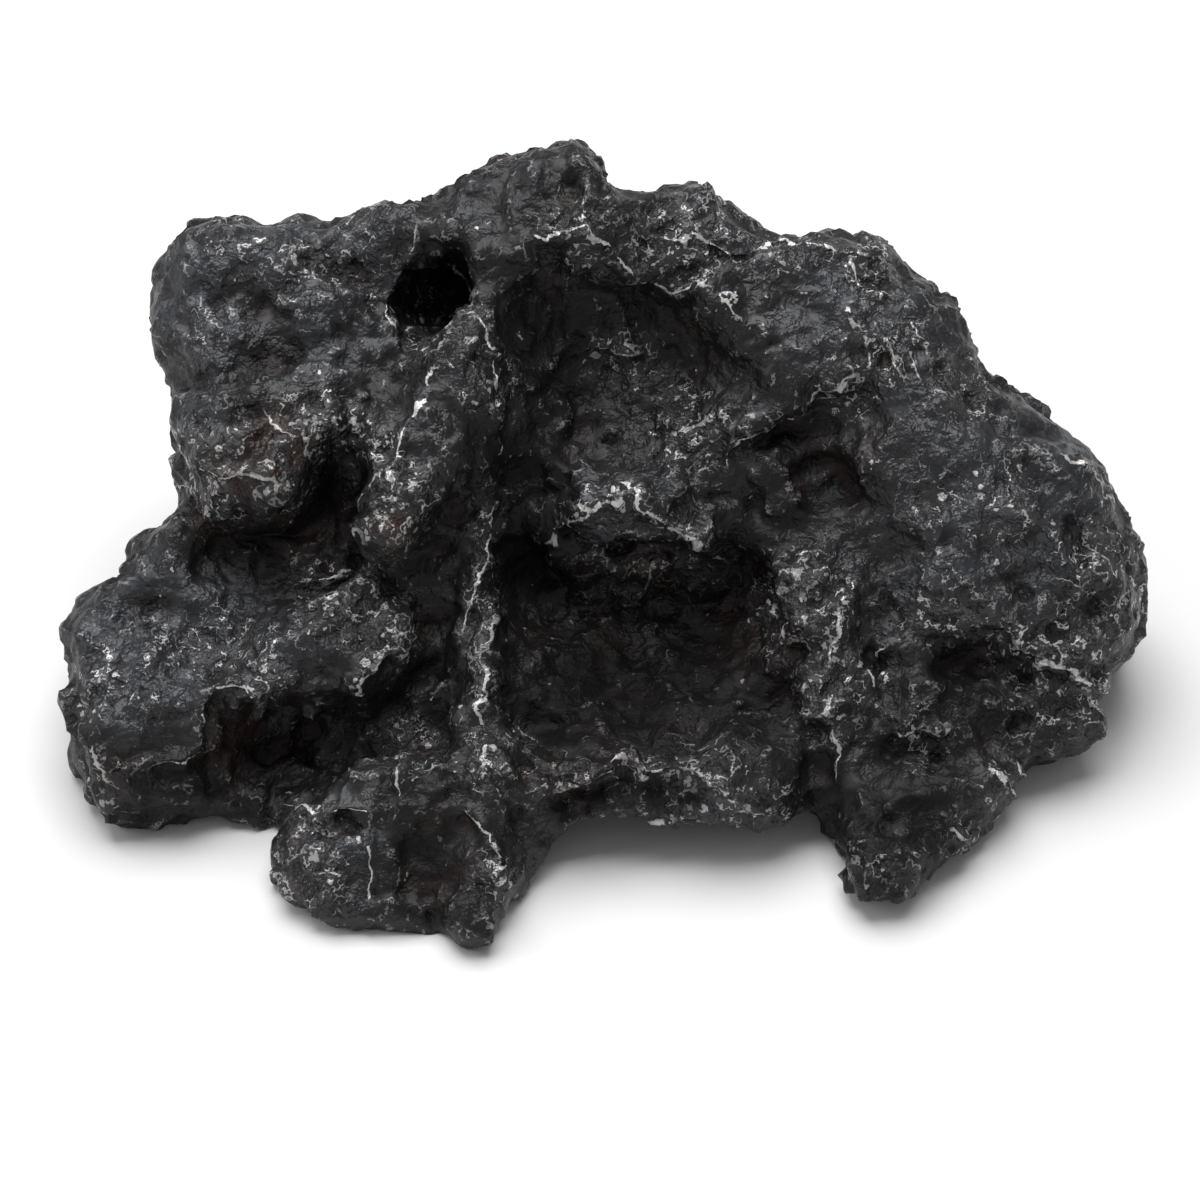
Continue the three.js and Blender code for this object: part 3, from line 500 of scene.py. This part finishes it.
# Small round dents with a raised lip, scattered over the whole stone
def scatterDents(skin):
    normals = skin.smooth(skin.normals(), 3)
    low, high = stone["dentRadius"]
    reach = 1.5     # how far a dent and its lip go, in radii
    lipWidth = 0.2
    chosen = random.choice(len(skin.points), stone["dents"], replace=False)
    radii = low + (high - low) * random.random(stone["dents"]) ** stone["fewLarge"]
    order = np.argsort(skin.points[:, 0])
    sortedX = skin.points[order, 0]
    height = np.zeros(len(skin.points))
    for point, radius in zip(skin.points[chosen].copy(), radii):
        first, last = np.searchsorted(sortedX, [point[0] - radius * reach, point[0] + radius * reach])
        near = order[first:last]
        away = np.linalg.norm(skin.points[near] - point, axis=1) / radius
        near = near[away < reach]
        away = away[away < reach]
        depth = stone["dentDepth"] * radius
        height[near] -= depth * np.clip(1 - away * away, 0, 1) ** 1.3
        height[near] += stone["dentLip"] * depth * lip(away, lipWidth)
    skin.points += height[:, None] * normals


def roughen(skin):
    for n, (size, height) in enumerate(stone["chips"]):
        relief = chippedRelief(skin.points / size, 100 + 10 * n)
        skin.points += (height * relief)[:, None] * skin.smooth(skin.normals(), 2)
    size, height = stone["grain"]
    relief = softNoise(skin.points / size, 200)
    skin.points += (height * relief)[:, None] * skin.normals()


# Masks that the material reads, from 0 to 1 at every point
def masksOf(skin, crest, crestSide):
    across, up, inView = seenFromFront(skin)
    normals = skin.normals()

    def bend(rounds):
        # positive where the surface is convex, over a distance that grows with rounds
        flat = skin.smooth(skin.points, rounds)
        return np.sum((skin.points - flat) * normals, axis=1)

    def painted(patches):
        total = np.zeros(len(across))
        for centre, radius, strength in patches:
            away = np.hypot(across - centre[0], up - centre[1]) / radius
            total = np.maximum(total, strength * np.clip(1.35 - away, 0, 1))
        return total * inView

    def scattered(salt, size, share):
        # random patches on the sides that the face's own patches don't reach
        soft = softNoise(skin.points / size, salt)
        soft = soft + 0.4 * softNoise(skin.points / (0.4 * size), salt + 1)
        return share * np.clip(soft * 2.4 - 0.45, 0, 1) * (1 - inView)

    unshaded = painted(unshadedPatches)
    sharpRim = 0.085    # how far a full rim stands out of the smoothed skin
    deepHollow = 1.2    # and how far a full hollow lies under it
    return {
        "rim": np.clip(bend(3) / sharpRim, 0, 1),
        "hollow": np.clip(-bend(60) / deepHollow, 0, 1) * (1 - 0.8 * unshaded),
        "wornAndGlint": np.maximum(painted(wornGlintPatches), scattered(81, 9, 0.9)),
        "brown": np.maximum(painted(brownPatches), scattered(84, 11, 0.7)),
        "pitted": np.maximum(painted(pittedPatches), scattered(87, 10, 0.8)),
        "paintedShade": painted(paintedShadePatches) * (1 - 0.7 * unshaded),
        "paintedLight": painted(paintedLightPatches),
        "crest": crest,
        "crestSide": crestSide,
        "upward": np.clip(skin.smooth(normals[:, 2], 2), 0, 1),
    }


# The solid's surface again, closed and in faces of one size
def fineSkin(cell):
    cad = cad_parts["meteorite"]
    coarse = cad.data.copy()
    coarse.transform(Matrix.Scale(1000, 4) @ cad.matrix_world)
    holder = bpy.data.objects.new("coarse", coarse)
    bpy.context.scene.collection.objects.link(holder)
    remesh = holder.modifiers.new("remesh", "REMESH")
    remesh.mode = "VOXEL"
    remesh.voxel_size = cell
    graph = bpy.context.evaluated_depsgraph_get()
    fine = bpy.data.meshes.new_from_object(holder.evaluated_get(graph))
    bpy.data.objects.remove(holder)
    return fine


def makeStone():
    cell = stone["cell"] * 1
    mesh = fineSkin(cell)
    skin = Skin(mesh)
    low = skin.points.min(axis=0)
    high = skin.points.max(axis=0)
    print("fine skin:", len(skin.points), "points,", len(skin.triangles), "triangles")
    skin.points = skin.smooth(skin.points, max(2, round((stone["blur"] / cell) ** 2 * 2)))
    pullOutline(skin)
    fillDeepPlaces(skin)
    crest, crestSide = carveStrokes(skin)
    scatterDents(skin)
    roughen(skin)
    print("carved")
    skin.points = np.clip(skin.points, low - stone["proud"], high + stone["proud"])
    skin.points[:, 2] = np.maximum(skin.points[:, 2], 0)
    masks = masksOf(skin, crest, crestSide)
    mesh.materials.clear()
    mesh.vertices.foreach_set("co", (skin.points / 1000).ravel())
    for name, values in masks.items():
        attribute = mesh.attributes.new(name, "FLOAT", "POINT")
        attribute.data.foreach_set("value", values.astype(np.float32))
    mesh.shade_smooth()
    mesh.update()
    piece = bpy.data.objects.new("stone", mesh)
    bpy.context.scene.collection.objects.link(piece)
    return piece


# Adds nodes to a shader tree. An input is a number, a colour or another node's output.
class Tree:
    def __init__(self, tree):
        self.tree = tree

    def feed(self, value, socket):
        if isinstance(value, bpy.types.NodeSocket):
            self.tree.links.new(value, socket)
        else:
            socket.default_value = value

    def node(self, kind, inputs=None, **settings):
        added = self.tree.nodes.new(kind)
        for name, value in settings.items():
            setattr(added, name, value)
        for key, value in (inputs or {}).items():
            self.feed(value, added.inputs[key])
        return added

    def math(self, operation, a, b=0.0, c=0.0, clamp=False):
        added = self.node("ShaderNodeMath", {0: a, 1: b, 2: c}, operation=operation, use_clamp=clamp)
        return added.outputs[0]

    def vectorMath(self, operation, a, b):
        return self.node("ShaderNodeVectorMath", {0: a, 1: b}, operation=operation).outputs

    def ramp(self, value, low, high):
        limits = {"Value": value, "From Min": low, "From Max": high}
        return self.node("ShaderNodeMapRange", limits, clamp=True).outputs["Result"]

    def mix(self, factor, a, b):
        added = self.node("ShaderNodeMix", {"Factor": factor}, data_type="RGBA")
        for number, value in ((6, a), (7, b)):      # the colour sockets A and B
            self.feed((*value, 1) if isinstance(value, tuple) else value, added.inputs[number])
        return added.outputs[2]


# A node group whose inputs and outputs are all single values
def group(name, inputs, outputs):
    tree = bpy.data.node_groups.new(name, "ShaderNodeTree")
    for label, default in inputs.items():
        socket = tree.interface.new_socket(label, in_out="INPUT", socket_type="NodeSocketFloat")
        socket.default_value = default
    for label in outputs:
        tree.interface.new_socket(label, in_out="OUTPUT", socket_type="NodeSocketFloat")
    t = Tree(tree)
    return t, t.node("NodeGroupInput").outputs, t.node("NodeGroupOutput").inputs


# Small facets, each tilted its own way, as relief in metres, with two random values for every facet
def facetGroup():
    defaults = {"Rough": 0, "Pitted": 0, "Facet Scale": 760, "Grain Scale": 520}
    results = ("Height", "Pits", "Shade", "Break", "Chips", "Grain")
    t, given, result = group("BrokenFacets", defaults, results)
    where = t.node("ShaderNodeTexCoord").outputs["Object"]
    noise = {"Vector": where, "Scale": given["Grain Scale"], "Detail": 3.0, "Roughness": 0.58}
    grain = t.node("ShaderNodeTexNoise", noise).outputs["Fac"]
    # the grain bends the facets' borders
    most = (0.0024, -0.0017, 0.0021)
    bent = t.node("ShaderNodeVectorMath", {0: most, "Scale": grain}, operation="SCALE")
    warped = t.vectorMath("ADD", where, bent.outputs[0])[0]
    cells = t.node("ShaderNodeTexVoronoi", {"Vector": warped, "Scale": given["Facet Scale"]}).outputs
    away = t.vectorMath("SUBTRACT", warped, cells["Position"])[0]
    tilt = t.vectorMath("SUBTRACT", cells["Color"], (0.5, 0.5, 0.5))[0]
    slope = t.vectorMath("DOT_PRODUCT", tilt, away)["Value"]
    values = t.node("ShaderNodeSeparateColor", {"Color": cells["Color"]}).outputs
    # some facets are pits, and some are chips with a bright edge
    hole = t.math("SUBTRACT", 1.0, t.ramp(cells["Distance"], 0.14, 0.42))
    pitted = t.math("MULTIPLY", t.ramp(values["Red"], 0.5, 0.7), given["Pitted"])
    hole = t.math("MULTIPLY", hole, pitted)
    chips = t.ramp(cells["Distance"], 0.64, 0.52)
    chips = t.math("MULTIPLY", t.ramp(values["Green"], 0.36, 0.46), chips)
    strength = t.math("MULTIPLY_ADD", given["Rough"], 0.8, 0.35)
    height = t.math("MULTIPLY", slope, strength)
    grainHeight = t.math("MULTIPLY", grain, t.math("MULTIPLY", strength, 0.0021))
    height = t.math("ADD", height, grainHeight)
    height = t.math("MULTIPLY_ADD", hole, -0.0003, height)
    for label, value in zip(results, (height, hole, values["Blue"], values["Green"], chips, grain)):
        t.feed(value, result[label])
    return t.tree


# Painted glints: thin broken bright lines along crests, and short bright edges where the skin is worn
def wornGlintGroup():
    labels = ("Rim", "Crest", "Crest Side", "Worn And Glint", "Break", "Chips", "Shade", "Grain")
    t, given, result = group("WornEdgesAndGlints", dict.fromkeys(labels, 0), ("Mask",))
    nearLine = t.math("ABSOLUTE", t.math("SUBTRACT", given["Grain"], 0.5))
    convex = t.math("MULTIPLY_ADD", given["Rim"], 0.6, 0.6)
    width = t.math("MULTIPLY", given["Worn And Glint"], 0.058)
    width = t.math("MULTIPLY", width, t.math("MULTIPLY", given["Chips"], convex))
    edge = t.math("DIVIDE", nearLine, t.math("ADD", width, 0.0005))
    edge = t.math("SUBTRACT", 1.0, edge, clamp=True)
    edge = t.math("MULTIPLY", edge, 2.0, clamp=True)
    edge = t.math("MULTIPLY", edge, t.ramp(given["Worn And Glint"], 0.08, 0.4))
    edge = t.math("MULTIPLY", edge, t.math("MULTIPLY_ADD", given["Shade"], 0.75, 0.25))
    # the crest line follows its raised edge, thick and thin, and is missing here and there
    shift = t.math("MULTIPLY", t.math("SUBTRACT", given["Grain"], 0.5), 1.3)
    aside = t.math("ABSOLUTE", t.math("ADD", given["Crest Side"], shift))
    thick = t.math("MULTIPLY_ADD", given["Break"], 0.16, 0.03)
    thick = t.math("MULTIPLY", thick, t.math("MULTIPLY_ADD", given["Worn And Glint"], 0.7, 0.7))
    crest = t.math("SUBTRACT", 1.0, t.math("DIVIDE", aside, thick), clamp=True)
    crest = t.math("MULTIPLY", crest, 2.5, clamp=True)
    crest = t.math("MULTIPLY", crest, t.ramp(given["Crest"], 0.25, 0.5))
    kept = t.math("MULTIPLY_ADD", given["Crest"], 0.55, given["Break"])
    crest = t.math("MULTIPLY", crest, t.ramp(kept, 0.6, 0.8))
    # the tops of the grain catch the light: a few all over, and many where it is worn
    level = t.math("MULTIPLY_ADD", given["Break"], -0.03, 0.73)
    level = t.math("MULTIPLY_ADD", given["Worn And Glint"], -0.08, level)
    fleck = t.ramp(given["Grain"], level, t.math("ADD", level, 0.02))
    sharp = t.math("MULTIPLY", t.ramp(given["Rim"], 0.75, 1.0), t.ramp(nearLine, 0.03, 0.0))
    faint = t.math("MAXIMUM", t.math("MULTIPLY", fleck, 0.7), t.math("MULTIPLY", sharp, 0.4))
    mask = t.math("MAXIMUM", t.math("MAXIMUM", edge, crest), faint, clamp=True)
    t.feed(mask, result["Mask"])
    return t.tree


def ironMaterial():
    material = bpy.data.materials.new("meteoric iron")
    material.use_nodes = True
    material.node_tree.nodes.clear()
    t = Tree(material.node_tree)

    def mask(name):
        return t.node("ShaderNodeAttribute", attribute_name=name).outputs["Fac"]

    where = t.node("ShaderNodeTexCoord").outputs["Object"]
    facets = t.node("ShaderNodeGroup", node_tree=facetGroup())
    t.feed(mask("pitted"), facets.inputs["Pitted"])
    coarse = t.math("MAXIMUM", mask("wornAndGlint"), t.math("MULTIPLY", mask("pitted"), 0.7))
    t.feed(coarse, facets.inputs["Rough"])
    wornAndGlint = t.node("ShaderNodeGroup", node_tree=wornGlintGroup())
    masks = {"Rim": "rim", "Crest": "crest", "Crest Side": "crestSide", "Worn And Glint": "wornAndGlint"}
    for label, name in masks.items():
        t.feed(mask(name), wornAndGlint.inputs[label])
    for label in ("Break", "Chips", "Shade", "Grain"):
        t.feed(facets.outputs[label], wornAndGlint.inputs[label])

    # the skin's colour: iron, painted light where it faces up, brown in patches, painted shade in the
    # hollows
    noise = {"Vector": where, "Scale": 190.0, "Detail": 2.0, "Roughness": 0.6}
    cloud = t.node("ShaderNodeTexNoise", noise)
    patchy = t.node("ShaderNodeSeparateColor", {"Color": cloud.outputs["Color"]})
    paintedShade = t.math("MULTIPLY", mask("hollow"), 0.6)
    paintedShade = t.math("MAXIMUM", paintedShade, t.math("MULTIPLY", mask("paintedShade"), 0.9))
    light = t.ramp(mask("upward"), 0.2, 0.95)
    light = t.math("MULTIPLY", light, t.ramp(cloud.outputs["Fac"], 0.3, 0.6))
    light = t.math("MULTIPLY_ADD", mask("paintedLight"), 0.9, t.math("MULTIPLY", light, 0.55))
    light = t.math("MULTIPLY", light, t.math("SUBTRACT", 1.0, paintedShade), clamp=True)
    color = t.mix(light, stone["iron"], stone["paintedLight"])
    rusty = t.math("MULTIPLY_ADD", mask("hollow"), 0.45, mask("brown"))
    rusty = t.math("MULTIPLY", rusty, t.ramp(patchy.outputs["Green"], 0.42, 0.6), clamp=True)
    color = t.mix(rusty, color, stone["brown"])
    color = t.mix(paintedShade, color, stone["paintedShade"])
    rubbed = t.math("MULTIPLY", mask("wornAndGlint"), t.ramp(facets.outputs["Grain"], 0.42, 0.62))
    color = t.mix(t.math("MULTIPLY", rubbed, 0.6), color, stone["polished"])
    # every facet has a shade of its own, and the worn edges with their painted glints come last
    shade = t.math("MULTIPLY_ADD", coarse, 0.7, 0.3)
    shade = t.math("MULTIPLY_ADD", facets.outputs["Shade"], shade, 0.75)
    color = t.node("ShaderNodeVectorMath", {0: color, "Scale": shade}, operation="SCALE").outputs[0]
    # the pits are painted dark: painted shade inside them
    color = t.mix(t.math("MULTIPLY", facets.outputs["Pits"], 0.75), color, stone["pitShade"])
    # the painted glints on worn edges, dimmed under the painted shade
    wornGlint = t.math("MULTIPLY_ADD", mask("paintedShade"), -0.7, 1.0)
    wornGlint = t.math("MULTIPLY", wornAndGlint.outputs["Mask"], wornGlint)
    color = t.mix(wornGlint, color, stone["wornGlint"])

    rough = t.math("MULTIPLY_ADD", patchy.outputs["Blue"], 0.25, stone["roughness"] - 0.12)
    # painted shade also makes the skin rougher
    rough = t.math("MULTIPLY_ADD", paintedShade, 0.2, rough)
    relief = {"Height": facets.outputs["Height"], "Strength": 0.9, "Distance": 1.0}
    bump = t.node("ShaderNodeBump", relief)
    surface = t.node("ShaderNodeBsdfPrincipled", {
        "Base Color": color,
        "Roughness": rough,
        "Metallic": stone["metallic"],
        # and painted shade dulls the reflection
        "Specular IOR Level": t.math("MULTIPLY_ADD", paintedShade, -0.45, 0.55),
        "Normal": bump.outputs["Normal"],
    })
    t.node("ShaderNodeOutputMaterial", {"Surface": surface.outputs[0]})
    return material


# A white ground just under the stone
def makeStage():
    half = 3.0
    drop = -5e-5
    corners = [(x * half, y * half, drop) for x, y in ((-1, -1), (1, -1), (1, 1), (-1, 1))]
    floorMesh = bpy.data.meshes.new("floor")
    floorMesh.from_pydata(corners, [], [(0, 1, 2, 3)])
    floor = bpy.data.objects.new("floor", floorMesh)
    bpy.context.scene.collection.objects.link(floor)
    material = bpy.data.materials.new("floor")
    material.use_nodes = True
    surface = material.node_tree.nodes["Principled BSDF"]
    surface.inputs["Base Color"].default_value = (0.9, 0.9, 0.9, 1)
    surface.inputs["Roughness"].default_value = 0.8
    surface.inputs["Specular IOR Level"].default_value = 0.1
    floorMesh.materials.append(material)


# The studio: how bright the white backdrop is, and for each lamp its place and aim, its size in
# metres and its power in watts
studio = {
    "backdrop": 0.27,
    "overhead": ((-0.05, 0.2, 0.75), (0, 0.02, 0), 0.7, 6.9),
    "left": ((-0.65, -0.05, 0.45), (0, 0, 0.02), 0.45, 1.0),
}


def makeLight():
    world = bpy.data.worlds.new("studio")
    bpy.context.scene.world = world
    world.use_nodes = True
    backdrop = world.node_tree.nodes["Background"]
    backdrop.inputs["Color"].default_value = (1, 1, 1, 1)
    backdrop.inputs["Strength"].default_value = studio["backdrop"]
    for name in ("overhead", "left"):
        place, aim, size, energy = studio[name]
        lamp = bpy.data.lights.new(name, "AREA")
        lamp.size = size
        lamp.energy = energy
        holder = bpy.data.objects.new(name, lamp)
        holder.location = place
        holder.rotation_euler = (Vector(aim) - Vector(place)).to_track_quat("-Z", "Y").to_euler()
        bpy.context.scene.collection.objects.link(holder)


def makeCamera():
    lens = bpy.data.cameras.new("camera")
    lens.lens = view["lens"]
    lens.sensor_width = view["sensor"]
    lens.clip_start = 0.01
    camera = bpy.data.objects.new("camera", lens)
    middle = Vector(view["middle"]) / 1000
    camera.location = middle + Vector(towardsViewer) * view["distance"] / 1000
    camera.rotation_euler = (middle - camera.location).to_track_quat("-Z", "Y").to_euler()
    bpy.context.scene.collection.objects.link(camera)
    bpy.context.scene.camera = camera
    bpy.context.scene.view_settings.view_transform = "Standard"


piece = makeStone()
piece.data.materials.append(ironMaterial())
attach(piece, "root")
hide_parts("meteorite")
print("stone made")
makeStage()
makeLight()
makeCamera()
print("stage, light and camera made")
